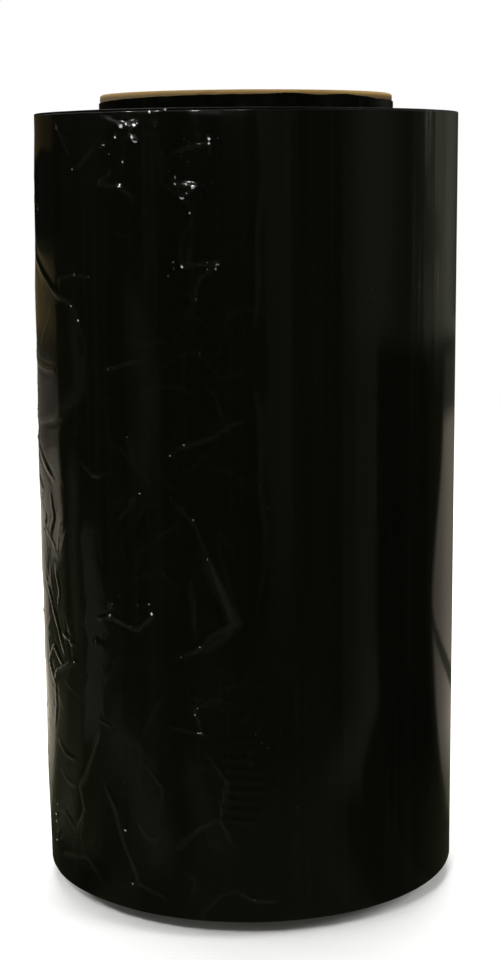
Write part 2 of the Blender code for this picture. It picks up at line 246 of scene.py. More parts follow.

# Places where a fold ends in a small raised point, painted near white as a glint, as (degrees, height in mm,
# height of the point in mm)
POINTS = (
    (66, 255, 0.34), (58, 251, 0.44), (61.5, 251.5, 0.4), (61, 248, 0.34), (62, 246.5, 0.36),
    (52, 245.5, 0.3), (57, 246, 0.2), (54, 243, 0.24),
    (70, 255.5, 0.36), (81, 247, 0.36), (75, 234, 0.38), (77, 233.5, 0.4),
    (58, 240.5, 0.26), (53.8, 237, 0.16), (57, 233.4, 0.36), (33, 251, 0.24), (40, 238.6, 0.24),
    (50, 234.5, 0.2), (20.5, 233.6, 0.26), (11, 230, 0.3), (17, 226, 0.28), (81, 245.8, 0.28),
    (76.8, 233.2, 0.3), (72.6, 236, 0.26), (72.3, 234, 0.26), (74.2, 230, 0.36), (75.4, 231.4, 0.22),
    (74, 210, 0.38), (82.8, 210.8, 0.3), (82.2, 209.4, 0.28), (78.5, 206.4, 0.22), (77.6, 200.2, 0.22),
    (46, 206, 0.22), (40.2, 206.6, 0.24), (32.8, 201.6, 0.22), (38.6, 196.8, 0.26), (41.5, 192.6, 0.3),
    (62, 181.5, 0.26), (52.5, 178.6, 0.22), (58, 158, 0.2), (74, 156.6, 0.24), (70, 153.4, 0.26),
    (61.4, 141, 0.26), (70, 140.4, 0.2), (41.4, 149, 0.16), (76, 134, 0.2), (79.7, 122, 0.24),
    (64.5, 103.8, 0.4), (51.6, 101.4, 0.28), (52.4, 105, 0.2), (60.9, 97, 0.14), (61.9, 107, 0.16),
    (79.9, 97.6, 0.24), (77.6, 94.6, 0.24), (72.6, 91, 0.2), (80, 77.6, 0.16), (76.5, 75, 0.22),
    (75.8, 73, 0.24), (77.7, 67.4, 0.26), (76.8, 67.2, 0.2), (69.9, 68.4, 0.2), (50.6, 64.8, 0.2),
    (46, 92, 0.22), (55, 32, 0.3), (59, 16.8, 0.2), (57.6, 14.8, 0.26), (62, 14.4, 0.22), (47, 11.6, 0.2),
    (36.5, 82.8, 0.26), (28.4, 14.6, 0.22), (88.3, 15.8, 0.18), (91, 13.4, 0.18), (23.4, 30.4, 0.3),
    (23, 27, 0.3), (22.4, 24, 0.3), (22.6, 20.6, 0.3), (22.2, 17.6, 0.28), (159, 27, 0.2), (160.5, 24, 0.2),
    (163, 17, 0.16), (10, 93, 0.2), (9, 60, 0.2), (11, 44, 0.22), (12, 40, 0.22),
)


class CoreSettings(bpy.types.PropertyGroup):
    board: FloatVectorProperty(
        name="Board", description="Colour of the kraft board", subtype="COLOR",
        size=3, min=0.0, max=1.0, default=(0.258, 0.162, 0.054),
    )
    edge: FloatVectorProperty(
        name="Cut edge", description="Colour of the paler fibres on a cut rim", subtype="COLOR",
        size=3, min=0.0, max=1.0, default=(0.270, 0.190, 0.105),
    )
    ply: FloatProperty(
        name="Ply", description="Thickness of one ply of the wound board", unit="LENGTH", default=0.9 * MM,
    )


class FilmSettings(bpy.types.PropertyGroup):
    colour: FloatVectorProperty(
        name="Film", description="Colour of the black film", subtype="COLOR",
        size=3, min=0.0, max=1.0, default=(0.0010, 0.0011, 0.0005),
    )
    # The haze colour also paints the sheen planes and fold crests of the slack film, as painted sheen and
    # painted highlights
    dust_and_sheen: FloatVectorProperty(
        name="Haze", description="Colour of scuffs and dust on the film", subtype="COLOR",
        size=3, min=0.0, max=1.0, default=(0.048, 0.049, 0.037),
    )
    gloss: FloatProperty(
        name="Roughness", description="Roughness of clean, tight film", subtype="FACTOR",
        min=0.0, max=1.0, default=0.07,
    )
    columns: IntProperty(name="Columns", description="Columns of faces round the roll", default=236, min=60)
    rows: IntProperty(name="Rows", description="Rows of faces up the outer turn", default=348, min=20)
    corner: FloatProperty(
        name="Corner", description="Rounding of the winding's outer corners", unit="LENGTH", default=0.3 * MM,
    )
    slack: FloatProperty(
        name="Slack", description="How far the slack turn stands off the winding", unit="LENGTH",
        default=0.9 * MM,
    )
    facet: FloatProperty(
        name="Facets", description="Height of the crumpled facets of the slack turn", unit="LENGTH",
        default=0.28 * MM,
    )
    turn_band: FloatProperty(
        name="Band of turns", description="Width of a band of turns on the winding's ends", unit="LENGTH",
        default=3.0 * MM,
    )


class StageSettings(bpy.types.PropertyGroup):
    floor: FloatVectorProperty(
        name="Floor", description="Colour of the floor and backdrop", subtype="COLOR",
        size=3, min=0.0, max=1.0, default=(0.86, 0.855, 0.845),
    )
    radius: FloatProperty(name="Radius", description="Radius of the studio floor", unit="LENGTH", default=2.3)
    height: FloatProperty(name="Height", description="Height of the backdrop", unit="LENGTH", default=1.4)
    flag_radius: FloatProperty(
        name="Flag radius", description="Radius of the dark flag that only reflections see", unit="LENGTH",
        default=0.45,
    )
    flag_height: FloatProperty(
        name="Flag height", description="Height of the dark flag", unit="LENGTH", default=0.30,
    )
    spark: FloatProperty(
        name="Spark lamps", description="Power of each small lamp", unit="POWER", default=0.22,
    )
    lens: FloatProperty(name="Lens", description="Focal length of the camera", unit="CAMERA", default=69.36)


class Socket:
    """A value in a material. Adding, subtracting, multiplying and dividing it adds Math nodes."""

    def __init__(self, nodes, output):
        self.nodes = nodes
        self.output = output

    def math(self, operation, *values, clamp=False):
        """A Math node on these values, or on this one alone."""
        settings = {"operation": operation, "use_clamp": clamp}
        return self.nodes.add("Math", settings, dict(enumerate(values or (self,))))

    def __add__(self, other):
        return self.math("ADD", self, other)

    def __sub__(self, other):
        return self.math("SUBTRACT", self, other)

    def __rsub__(self, other):
        return self.math("SUBTRACT", other, self)

    def __mul__(self, other):
        return self.math("MULTIPLY", self, other)

    def __truediv__(self, other):
        return self.math("DIVIDE", self, other)

    def __rtruediv__(self, other):
        return self.math("DIVIDE", other, self)

    __radd__ = __add__
    __rmul__ = __mul__

    def clamp(self):
        return self.math("ADD", self, 0.0, clamp=True)

    def from_middle(self):
        """How far the value's fraction is from a half, which repeats with each whole number."""
        return (self.math("FRACT") - 0.5).math("ABSOLUTE")

    def step(self, start, end):
        """0 below start and 1 above end, with a smooth rise between. It falls where end is below start."""
        low, high, first, last = (start, end, 0.0, 1.0) if start < end else (end, start, 1.0, 0.0)
        settings = {"interpolation_type": "SMOOTHSTEP"}
        sockets = {"Value": self, "From Min": low, "From Max": high, "To Min": first, "To Max": last}
        return self.nodes.add("MapRange", settings, sockets)

    def band(self, start, full, ends, none):
        """1 between full and ends, with a smooth rise from start and a smooth fall to none."""
        return self.step(start, full) * self.step(none, ends)


class Nodes:
    """The nodes of one material or world, added one at a time."""

    def __init__(self, owner):
        owner.use_nodes = True
        self.tree = owner.node_tree
        self.tree.nodes.clear()

    def add(self, kind, settings=None, sockets=None, output=0):
        """A node of this kind: its settings are set first, then its sockets, each a value or a link."""
        node = self.tree.nodes.new("ShaderNode" + kind)
        for name, value in (settings or {}).items():
            setattr(node, name, value)
        for name, value in (sockets or {}).items():
            if isinstance(value, Socket):
                self.tree.links.new(value.output, node.inputs[name])
            else:
                node.inputs[name].default_value = value
        return Socket(self, node.outputs[output])

    def output(self, kind, surface):
        node = self.tree.nodes.new("ShaderNodeOutput" + kind)
        self.tree.links.new(surface.output, node.inputs["Surface"])

    def place(self):
        """Object coordinates."""
        return self.add("TexCoord", output=3)

    def attribute(self, name):
        return self.add("Attribute", {"attribute_name": name}, output=2)

    def mix(self, factor, first, second):
        """A colour between first and second."""
        return self.add("Mix", {"data_type": "RGBA"}, {0: factor, 6: first, 7: second}, output=2)

    def stretched(self, place, scale):
        """Object coordinates multiplied by a scale for each axis."""
        return self.add("VectorMath", {"operation": "MULTIPLY"}, {0: place, 1: scale})

    def split(self, vector):
        """The three parts of a vector, as sockets."""
        first = self.add("SeparateXYZ", None, {0: vector})
        return [Socket(self, output) for output in first.output.node.outputs]

    def noise(self, place, scale, detail=2.0, rough=0.5):
        sockets = {"Vector": self.stretched(place, scale), "Scale": 1.0, "Detail": detail, "Roughness": rough}
        return self.add("TexNoise", None, sockets)

    def bump(self, height, distance):
        return self.add("Bump", None, {"Height": height, "Distance": distance, "Strength": 1.0})


def opaque(colour, share=1.0):
    """A colour for a socket, made darker or paler by a share."""
    return (*(channel * share for channel in colour), 1.0)


def core_material(settings):
    """Kraft board, spiral wound: fibres along the ply, ply seams, ply lines and pale fuzz on the cut rims,
    with painted light on its right side and painted shade below its rims.
    """
    material = bpy.data.materials.new("kraft_board")
    nodes = Nodes(material)
    place = nodes.place()
    x, y, z = nodes.split(place)
    angle = y.math("ARCTAN2", y, x) / math.tau
    radius = (x * x + y * y).math("SQRT")
    normal = nodes.add("NewGeometry", output=1)
    rim = nodes.split(normal)[2].math("ABSOLUTE").step(0.45, 0.85)
    wall = 1.0 - rim

    mottle = nodes.noise(place, (60, 60, 60), detail=4)
    fibre = nodes.noise(place, (260, 260, 2600), detail=5, rough=0.65)
    speck = nodes.noise(place, (1400, 1400, 1400), detail=1).step(0.66, 0.74)
    fuzz = nodes.noise(place, (900, 900, 900), detail=3) * rim
    seam = (z / SEAM_PITCH - angle).from_middle().step(0.010, 0.004) * wall
    ply_wave = radius / settings.ply + nodes.noise(place, (130, 130, 130)) * 0.5
    ply = ply_wave.from_middle().step(0.16, 0.04) * rim

    # Painted light makes the board paler on its right side, and painted shade darkens its outer wall from
    # just below each end
    paler = x.step(20 * MM, 46 * MM) * wall
    # Painted shade: the outer wall darkens from just below each end of the core
    past_middle = (z - CORE_TOP / 2).math("ABSOLUTE") - CORE_TOP / 2
    painted_rim_shade = past_middle.step(0.2 * MM, -1.8 * MM)
    painted_rim_shade *= radius.step(CORE_RADIUS - 3.5 * MM, CORE_RADIUS - 1.5 * MM) * wall

    dark = opaque(settings.board, 0.62)
    board = nodes.mix(rim, opaque(settings.board), opaque(settings.edge))
    board = nodes.mix((mottle.step(0.35, 0.75) * 0.35 + fibre.step(0.45, 0.8) * 0.30).clamp(), board, dark)
    board = nodes.mix((seam * 0.55 + ply * 0.45 + speck * 0.35).clamp(), board, dark)
    # Painted light: the board on the right side is made paler
    board = nodes.mix(paler * 0.7, board, opaque(settings.board, 1.9))
    # Painted shade below the rims, darkening the board
    board = nodes.mix(painted_rim_shade * 0.9, board, opaque(settings.board, 0.2))
    height = fibre * 0.5 + fuzz * 1.6 - ply * 1.2 - seam * 1.5
    shader = nodes.add("BsdfPrincipled", None, {
        "Base Color": board,
        "Roughness": 0.86,
        "Specular IOR Level": 0.3,
        "Normal": nodes.bump(height, 0.12 * MM),
    })
    nodes.output("Material", shader)
    return material


def film_material(settings):
    """Black film: glossy where it is tight, with drawn streaks, dust, scuffs and the turns' cut edges, and
    painted highlights: white glints on raised points, paler fold crests and paler sheen planes.
    """
    material = bpy.data.materials.new("black_film")
    nodes = Nodes(material)
    place = nodes.place()
    x, y, z = nodes.split(place)
    # Here the angle is in radians from -X towards -Y
    angle = x.math("ARCTAN2", y * -1.0, x * -1.0)
    radius = (x * x + y * y).math("SQRT")
    slack, end, fold, sheen = (nodes.attribute(name) for name in ("slack", "end", "fold", "sheen"))
    spark = nodes.attribute("spark").step(0.47, 0.95)
    wall = 1.0 - end

    # Tight turns show on the ends as one fine spiral of edges, in uneven bundles
    phase = radius / TURN_THICKNESS - angle / math.tau
    edges = phase.math("PINGPONG", phase, 0.5) * 2.0
    wander = nodes.noise(place, (90, 90, 90), detail=3)
    polar = nodes.add("CombineXYZ", None, {0: radius * 2400.0, 1: angle * 1.2})
    bundle = nodes.noise(polar, (1, 1, 1), detail=3)

    # Streaks drawn round the roll, faint bands across it, and fine crinkle where it is slack
    drawn = nodes.noise(place, (9, 9, 900), detail=3)
    across = nodes.noise(place, (420, 420, 5), detail=4, rough=0.6)
    broad = nodes.noise(place, (70, 70, 3), detail=2)
    cells = {"Vector": nodes.stretched(place, (240, 240, 130)), "Scale": 1.0}
    crinkle = nodes.add("TexVoronoi", {"feature": "DISTANCE_TO_EDGE"}, cells).step(0.0, 0.10)
    pebble = nodes.noise(place, (500, 500, 380), detail=4)

    # A scuffed patch high on the right, and dust in flecks
    worn = angle.step(2.35, 2.60) * z.step(165 * MM, 215 * MM)
    scuffed = worn * across.step(0.40, 0.75) * nodes.noise(place, (60, 60, 22), detail=3).step(0.35, 0.65)
    dust = nodes.noise(place, (1300, 1300, 900), detail=2).step(0.70, 0.78)
    dust *= nodes.noise(place, (30, 30, 24)).step(0.4, 0.7)

    # The lip of the winding and the thin collar are matt
    lip = z.step(FACE_TOP - 0.9 * MM, FACE_TOP - 0.5 * MM)
    lip *= radius.step(FILM_RADIUS - 2.0 * MM, FILM_RADIUS - 1.0 * MM)
    collar = radius.step(CORE_RADIUS + 2.0 * MM, CORE_RADIUS + 1.0 * MM)
    matt = (lip * angle.step(2.05, 1.75) + collar * 0.75).clamp()

    # Haze of dust, scuffs, faint bands and the ends' bundles of turns, with painted sheen planes and painted
    # highlights on the fold crests
    dust_and_sheen = (
        sheen * 0.07 + across.step(0.46, 0.74) * 0.014 + scuffed * 0.55 + dust * 0.25
        + broad.step(0.5, 0.75) * 0.010 + end * bundle.step(0.4, 0.7) * 0.06 + fold * 0.07
    )
    colour = nodes.mix(dust_and_sheen.clamp(), opaque(settings.colour), opaque(settings.dust_and_sheen))
    # Painted glint: the raised points are near white, and partly metallic
    colour = nodes.mix(spark, colour, opaque(WHITE[:3], 0.95))
    roughness = (
        settings.gloss + lip * 0.45 + scuffed * 0.32 + dust * 0.25 + broad * 0.05
        + end * (0.22 + wander * 0.15) + fold * 0.04
    )
    height = (
        drawn * 0.10 * wall + across * (0.02 + worn * 0.6) * wall + slack * crinkle * 0.05
        + slack * pebble * 0.15 + end * edges * 1.1 + end * bundle * 1.5
    )
    glossy = nodes.add("BsdfPrincipled", None, {
        "Base Color": colour,
        "Roughness": roughness.clamp(),
        "IOR": 1.25,
        "Metallic": spark * 0.8,
        "Coat Weight": fold.clamp(),
        "Coat Roughness": 0.06,
        "Normal": nodes.bump(height, 0.10 * MM),
    })
    dull = nodes.add("BsdfDiffuse", None, {"Color": colour})
    nodes.output("Material", nodes.add("MixShader", None, {0: matt, 1: glossy, 2: dull}))
    return material


def deselect():
    if bpy.context.mode != "OBJECT":
        bpy.ops.object.mode_set(mode="OBJECT")
    bpy.ops.object.select_all(action="DESELECT")


def edit(mode):
    bpy.ops.object.mode_set(mode="EDIT")
    bpy.ops.mesh.select_mode(type=mode)
    bpy.ops.mesh.select_all(action="DESELECT")


def select(kind, wanted):
    """Selects what wanted accepts among the edited mesh's faces, edges or verts, and nothing else."""
    mesh = bpy.context.edit_object.data
    bm = bmesh.from_edit_mesh(mesh)
    for item in (*bm.verts, *bm.edges, *bm.faces):
        item.select = False
    found = [item for item in getattr(bm, kind) if wanted(item)]
    for item in found:
        item.select_set(True)
    bm.select_flush_mode()
    bmesh.update_edit_mesh(mesh)
    if not found:
        raise RuntimeError(f"no {kind} to select")


def point_out(inside=False):
    """Turns all faces of the edited mesh outwards, or inwards, and leaves edit mode."""
    bpy.ops.mesh.select_all(action="SELECT")
    bpy.ops.mesh.normals_make_consistent(inside=inside)
    deselect()


def smooth(piece, angle):
    deselect()
    piece.select_set(True)
    bpy.context.view_layer.objects.active = piece
    bpy.ops.object.shade_smooth_by_angle(angle=math.radians(angle))


def middle(item):
    return sum((vert.co for vert in item.verts), Vector()) / len(item.verts)


def ring_radius(vert):
    return math.hypot(vert.co.x, vert.co.y)


def rise(edge):
    return abs(edge.verts[0].co.z - edge.verts[1].co.z)


def at_height(edge, height):
    return all(abs(vert.co.z - height) < LEVEL for vert in edge.verts)


def add_winding(settings):
    """A cylinder whose ends are inset to the core, raised as collars and joined by the bore."""
    bpy.ops.mesh.primitive_cylinder_add(
        vertices=settings.columns, radius=FILM_RADIUS, depth=FACE_TOP - FACE_FOOT, end_fill_type="NGON",
        location=(0.0, 0.0, (FACE_TOP + FACE_FOOT) / 2),
    )
    piece = bpy.context.object
    bpy.ops.object.transform_apply(location=True, rotation=True, scale=True)
    edit("FACE")
    for face_height, collar_height in ((FACE_TOP, FILM_BOX[1].z), (FACE_FOOT, FILM_BOX[0].z)):
        def cap(face):
            return len(face.verts) == settings.columns and abs(middle(face).z - face_height) < MM
        select("faces", cap)
        bpy.ops.mesh.inset(thickness=FILM_RADIUS - COLLAR_RADIUS, depth=0.0)
        climb = (0.0, 0.0, collar_height - face_height)
        bpy.ops.mesh.extrude_region_move(TRANSFORM_OT_translate={"value": climb})
        bpy.ops.mesh.inset(thickness=COLLAR_RADIUS - BORE_RADIUS, depth=0.0)
    select("faces", lambda face: len(face.verts) == settings.columns)
    bpy.ops.mesh.bridge_edge_loops()
    bpy.ops.mesh.select_mode(type="EDGE")
    return piece


def subdivide_edges(wanted, cuts):
    select("edges", wanted)
    bpy.ops.mesh.subdivide(number_cuts=cuts)


def refine_winding(settings):
    """Rounds the corners and gives the outer turn, the end faces and the collars their rows."""

    def on_wall(edge):
        return all(ring_radius(vert) > FILM_RADIUS - LEVEL for vert in edge.verts)

    def on_corner(edge):
        return on_wall(edge) and (at_height(edge, FACE_TOP) or at_height(edge, FACE_FOOT))

    def across_end(edge):
        near, far = (ring_radius(vert) for vert in edge.verts)
        return abs(near - far) > (FILM_RADIUS - COLLAR_RADIUS) / 2 and rise(edge) < LEVEL

    def up_collar(edge):
        away = max(abs(ring_radius(vert) - COLLAR_RADIUS) for vert in edge.verts)
        return away < NEAR and rise(edge) > MM

    select("edges", on_corner)
    bpy.ops.mesh.bevel(offset=settings.corner, segments=CORNER_SEGMENTS, profile=0.5, affect="EDGES")
    # The wall is cut twice, because one subdivide can't make this many rows
    long_edge = (FACE_TOP - FACE_FOOT) / 2
    for cuts in (WALL_CUTS, settings.rows // (WALL_CUTS + 1) - 1):
        subdivide_edges(lambda edge: on_wall(edge) and rise(edge) > long_edge, cuts)
        long_edge /= 2 * (cuts + 1)
    subdivide_edges(across_end, END_CUTS)
    subdivide_edges(up_collar, COLLAR_CUTS)


def crowd_columns(turn):
    """Angles for columns that were even: the same share of the crowding's total lies before each."""
    stops = np.array(CROWDING)
    spread = np.linspace(-180.0, 180.0, 3601)
    density = np.interp(spread, stops[:, 0], stops[:, 1])
    total = np.concatenate([[0.0], np.cumsum((density[1:] + density[:-1]) / 2)])
    return np.interp(turn, total / total[-1], spread)


def unrolled(angle, up):
    """Places on the unrolled film in mm, from angles and heights in mm."""
    return np.stack([np.radians(angle) * FILM_RADIUS / MM, up], -1)


def segment_distance(points, start, end):
    """Distance from each point to a segment, and how far along the segment its nearest place is."""
    run = end - start
    length = np.hypot(*run)
    along = np.clip(((points - start) @ run) / length**2, 0.0, 1.0)
    away = points - start - along[:, None] * run
    return np.hypot(away[:, 0], away[:, 1]), along * length


def crease_lift(points, crease):
    """Height of one crease over the film, a sharp ridge between two hollows, and how near its fold is, where
    the film is painted paler as a highlight.
    """
    height, flank, *line = crease
    height *= CREASE_HEIGHT_SHARE
    flank *= CREASE_FLANK_SHARE
    line = unrolled(*np.array(line).T)
    near = np.abs(points - line.mean(0)).max(1) < np.ptp(line, axis=0).max() / 2 + 4 * flank
    lift, fold = np.zeros((2, len(points)))
    if not near.any():
        return lift, fold
    close = points[near]
    lengths = np.hypot(*np.diff(line, axis=0).T)
    best = np.full(len(close), np.inf)
    place = np.zeros(len(close))
    for index, (start, end) in enumerate(zip(line, line[1:])):
        distance, along = segment_distance(close, start, end)
        better = distance < best
        best[better] = distance[better]
        place[better] = lengths[:index].sum() + along[better]
    share = place / lengths.sum()
    taper = np.clip(np.minimum(share, 1.0 - share) * 4.0 + 0.25, 0.0, 1.0)
    ridge = np.clip(1.0 - best / flank, 0.0, 1.0) ** 2
    hollow = np.exp(-((best / flank - 1.3) / 0.55) ** 2)
    lift[near] = height * taper * (ridge - 0.18 * hollow)
    fold[near] = min(1.0, 2.0 * height) * taper * np.exp(-((best / FOLD_WIDTH) ** 2))
    return lift, fold


def facet_lift(points, spacing, height, rng):
    """A crumpled sheet of flat facets: random corners joined by triangles, which meet in straight folds."""
    columns, rows = np.ceil((FACETS_TO - FACETS_FROM) / spacing).astype(int) + 1
    corners = np.stack(np.meshgrid(np.arange(columns), np.arange(rows), indexing="ij"), -1).reshape(-1, 2)
    corners = FACETS_FROM + (corners + rng.uniform(-0.38, 0.38, corners.shape)) * spacing
    lifts = rng.uniform(-1.0, 1.0, len(corners)) * height
    _, _, faces, *_ = delaunay_2d_cdt([Vector(corner) for corner in corners], [], [], 0, 1e-6)
    lift = np.zeros(len(points))
    order = np.argsort(points[:, 0])
    ordered = points[order, 0]
    for face in faces:
        triangle = corners[face]
        first, last = np.searchsorted(ordered, (triangle[:, 0].min(), triangle[:, 0].max()))
        chosen = order[first:last]
        base = np.array([triangle[1] - triangle[0], triangle[2] - triangle[0]]).T
        inside = (points[chosen] - triangle[0]) @ np.linalg.inv(base).T
        hit = (inside[:, 0] >= 0) & (inside[:, 1] >= 0) & (inside.sum(1) <= 1)
        slopes = lifts[list(face[1:])] - lifts[face[0]]
        lift[chosen[hit]] = lifts[face[0]] + inside[hit] @ slopes
    return lift


def random_creases(count, rng):
    """Small folds between the large ones, most of them steep, drawn as short bent lines."""
    made = []
    for _ in range(count):
        angle, up = rng.uniform(-20.0, 96.0), rng.uniform(12.0, 250.0)
        heading = rng.normal(90.0, 42.0)
        line = [(angle, up)]
        for _ in range(rng.integers(2, 5)):
            heading += rng.normal(0.0, 28.0)
            step = rng.uniform(3.0, 8.0)
            angle += math.cos(math.radians(heading)) * step / 1.2
            up += math.sin(math.radians(heading)) * step
            line.append((angle, up))
        made.append((rng.uniform(0.08, 0.24), rng.uniform(0.9, 1.7), *line))
    return made


def with_satellites(points, rng):
    """The raised points, each with up to three fainter ones near it."""
    made = list(points)
    for angle, up, size in points:
        for _ in range(rng.integers(0, 4)):
            away = rng.normal(0.0, SATELLITE_REACH, 2)
            share = rng.uniform(0.35, 0.70)
            made.append((angle + away[0], min(up + away[1], SATELLITE_TOP), size * share))
    return made


def slack_share(angle, share):
    """1 where the outer turn is slackest and 0 where it is tight, by angle and by share of the height."""
    swell = np.sin(math.pi * np.clip(share, 0.0, 1.0) ** (math.log(0.5) / math.log(SLACK_HEIGHT)))
    away = np.abs(angle - SLACK_ANGLE) / SLACK_REACH
    return np.cos(math.pi / 2 * np.clip(away, 0.0, 1.0)) ** 2 * swell


def wall_lift(settings, angle, height):
    """How far the outer turn stands off the tight winding, and the shares that its material reads, among them
    where it paints glints, highlights and sheen.
    """
    share = (height - FACE_FOOT) / (FACE_TOP - FACE_FOOT)
    up = height / MM
    points = unrolled(angle, up)
    rng = np.random.default_rng(SEED)
    lift, fold, spark, sheen = np.zeros((4, len(points)))

    # The film is creased up to its free edge, more so low on the roll, and a strip of it is tight
    creased = np.interp(angle, (-70.0, -20.0, 84.0, 97.0), (0.0, 1.0, 1.0, 0.0))
    steeper = np.interp(share, (0.0, 0.4, 0.8, 1.0), (1.5, 1.3, 0.55, 0.4))
    flat = 1.0 - 0.75 * np.exp(-((angle - TIGHT_STRIP) / TIGHT_STRIP_WIDTH) ** 2)
    drawn = np.interp(angle, (0.0, 35.0), (0.5, 1.0))
    scattered = 0.8 * creased * flat * np.interp(angle, (0.0, 35.0), (0.3, 1.0))
    for creases, weight in ((CREASES, drawn), (random_creases(SMALL_CREASES, rng), scattered)):
        for crease in creases:
            crest, near_fold = crease_lift(points, crease)
            lift += crest * weight * steeper
            # Near a fold's crest the material paints the film paler, a painted highlight
            fold = np.maximum(fold, near_fold * weight)

    for point_angle, point_up, size in with_satellites(POINTS, rng):
        away = np.hypot(*(points - unrolled(point_angle, point_up)).T)
        bump = np.exp(-((away / POINT_RADIUS) ** 2))
        lift += size * bump * np.maximum(steeper, 0.6)
        # The share of each raised point that the material paints as a white glint
        spark = np.maximum(spark, bump * min(0.25 + 1.9 * size, 0.86))

    # Planes painted paler, a painted sheen
    for width, strength, *line in SHEENS:
        crest, _ = crease_lift(points, (1.0, width * 2.0, *line))
        sheen = np.maximum(sheen, strength * np.clip(2.0 * crest, 0.0, 1.0))

    for ripple_angle, reach, ripple_up, ripple_reach, spacing, size in RIPPLES:
        away = np.hypot((angle - ripple_angle) / reach, (up - ripple_up) / ripple_reach)
        bent = up + 1.5 * np.sin(np.radians(angle * 9.0))
        lift += size * np.sin(math.tau * bent / spacing) * np.clip(1.5 - 1.5 * away, 0.0, 1.0)

    coarse = facet_lift(points, COARSE_FACETS, settings.facet / MM * 1.1, rng)
    fine = facet_lift(points, FINE_FACETS, settings.facet / MM * 0.12, rng)
    lift += (coarse + fine) * creased * flat

    buckle = np.cos(np.radians(BUCKLES * angle) + math.tau * BUCKLE_SLANT * share)
    lift = lift * MM + (settings.slack + BUCKLE_LIFT * buckle) * slack_share(angle, share)
    wave = 1.2 * np.sin(up / 17.0) + 0.6 * np.sin(up / 6.1)
    lapped = np.clip((LAP_ANGLE + wave - angle) / 0.8, 0.0, 1.0) * np.clip(creased * 4, 0.0, 1.0)
    lift += LAP_STEP * lapped
    return lift, {"slack": creased, "fold": fold, "spark": spark, "sheen": sheen}


def shape_winding(piece, settings):
    """Crowds the columns on the creased side, and gives the outer turn, ends and collars their form."""
    mesh = piece.data
    co = np.empty(len(mesh.vertices) * 3)
    mesh.vertices.foreach_get("co", co)
    co = co.reshape(-1, 3)
    ring = np.hypot(co[:, 0], co[:, 1])
    height = co[:, 2].copy()
    angle = crowd_columns((np.arctan2(-co[:, 1], -co[:, 0]) / math.tau + 0.5) % 1.0)
    above = height > (FACE_TOP + FACE_FOOT) / 2
    outward = np.where(above, 1.0, -1.0)
    face = np.where(above, FACE_TOP, FACE_FOOT)

    # The outer turn, whose lift runs out over the end faces
    climb_radius = COLLAR_RADIUS + CLIMB_RUN
    lift, shares = wall_lift(settings, angle, np.clip(height, FACE_FOOT, FACE_TOP))
    outer = np.clip((ring - climb_radius) / (FILM_RADIUS - climb_radius), 0.0, 1.0)
    ring = np.where(ring > climb_radius, ring + lift * outer**3, ring)

    # The end faces: spiral bands of turns, and the first turns' climb to the collar
    on_end = (np.abs(height - face) < NEAR) & (ring > COLLAR_RADIUS - NEAR)
    climbed = np.clip((climb_radius - ring) / CLIMB_RUN, 0.0, 1.0)
    phase = (ring - climb_radius) / settings.turn_band - angle / 360.0
    ridge = TURN_RIDGE * (1.0 - np.abs(phase % 1.0 * 2.0 - 1.0))
    fade = np.clip((ring - climb_radius) / settings.turn_band, 0.0, 1.0)
    fade *= np.clip((FILM_RADIUS - 2.0 * settings.corner - ring) / settings.turn_band, 0.0, 1.0)
    height = np.where(on_end, height + outward * (CLIMB_RISE * climbed**2 + ridge * fade), height)

    # The collars: ragged edges, which leave some of the core bare, and faint wrinkles
    edge_turn = np.where(above, angle, angle + LOWER_COLLAR_TURN) % 360.0
    table = np.array(COLLAR_EDGE)
    bare = np.interp(edge_turn, table[:, 0], table[:, 1]) * MM
    top = np.where(above, FILM_BOX[1].z, FILM_BOX[0].z)
    sag = bare - np.abs(np.where(above, CORE_TOP, CORE_BOX[0].z) - top)
    ragged = np.sin(np.radians(edge_turn * 31.0)) * np.sin(np.radians(edge_turn * 7.0 + 40.0)) * COLLAR_RAG
    raised = np.clip((height - face) / (top - face), 0.0, 1.0)
    inside = ring < COLLAR_RADIUS + NEAR
    on_collar = inside & (raised > 1e-3)
    height = np.where(on_collar, height - outward * np.maximum(sag + ragged, 0.0) * raised, height)
    collar_foot = inside & (ring > COLLAR_RADIUS - NEAR) & (raised <= 1e-3)
    height = np.where(collar_foot, face + outward * CLIMB_RISE, height)
    wrinkle = np.sin(np.radians(angle * 23.0)) * np.sin(np.radians(angle * 5.0)) * COLLAR_WRINKLE
    wrinkled = on_collar & (ring > BORE_RADIUS + NEAR)
    ring = np.where(wrinkled, ring + wrinkle * raised * (1.0 - raised) * 4.0, ring)

    turned = np.radians(angle)
    shaped = np.stack([-ring * np.cos(turned), -ring * np.sin(turned), height], 1)
    shaped = np.clip(shaped, np.array(FILM_BOX[0]), np.array(FILM_BOX[1]))
    mesh.vertices.foreach_set("co", shaped.ravel())
    on_turn = ring > FILM_RADIUS - 1.0 * MM
    values = {"end": on_end & ~collar_foot, **{name: share * on_turn for name, share in shares.items()}}
    for name, value in values.items():
        attribute = mesh.attributes.new(name, "FLOAT", "POINT")
        attribute.data.foreach_set("value", value.astype(np.float32))
    mesh.update()


class ROLL_OT_core(bpy.types.Operator):
    """Finish the cardboard core in kraft board"""

    bl_idname = "roll.core"
    bl_label = "Cardboard core"

    def execute(self, context):
        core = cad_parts["core"]
        material = core_material(context.scene.roll_core)
        for slot in core.material_slots:
            slot.material = material
        return {"FINISHED"}


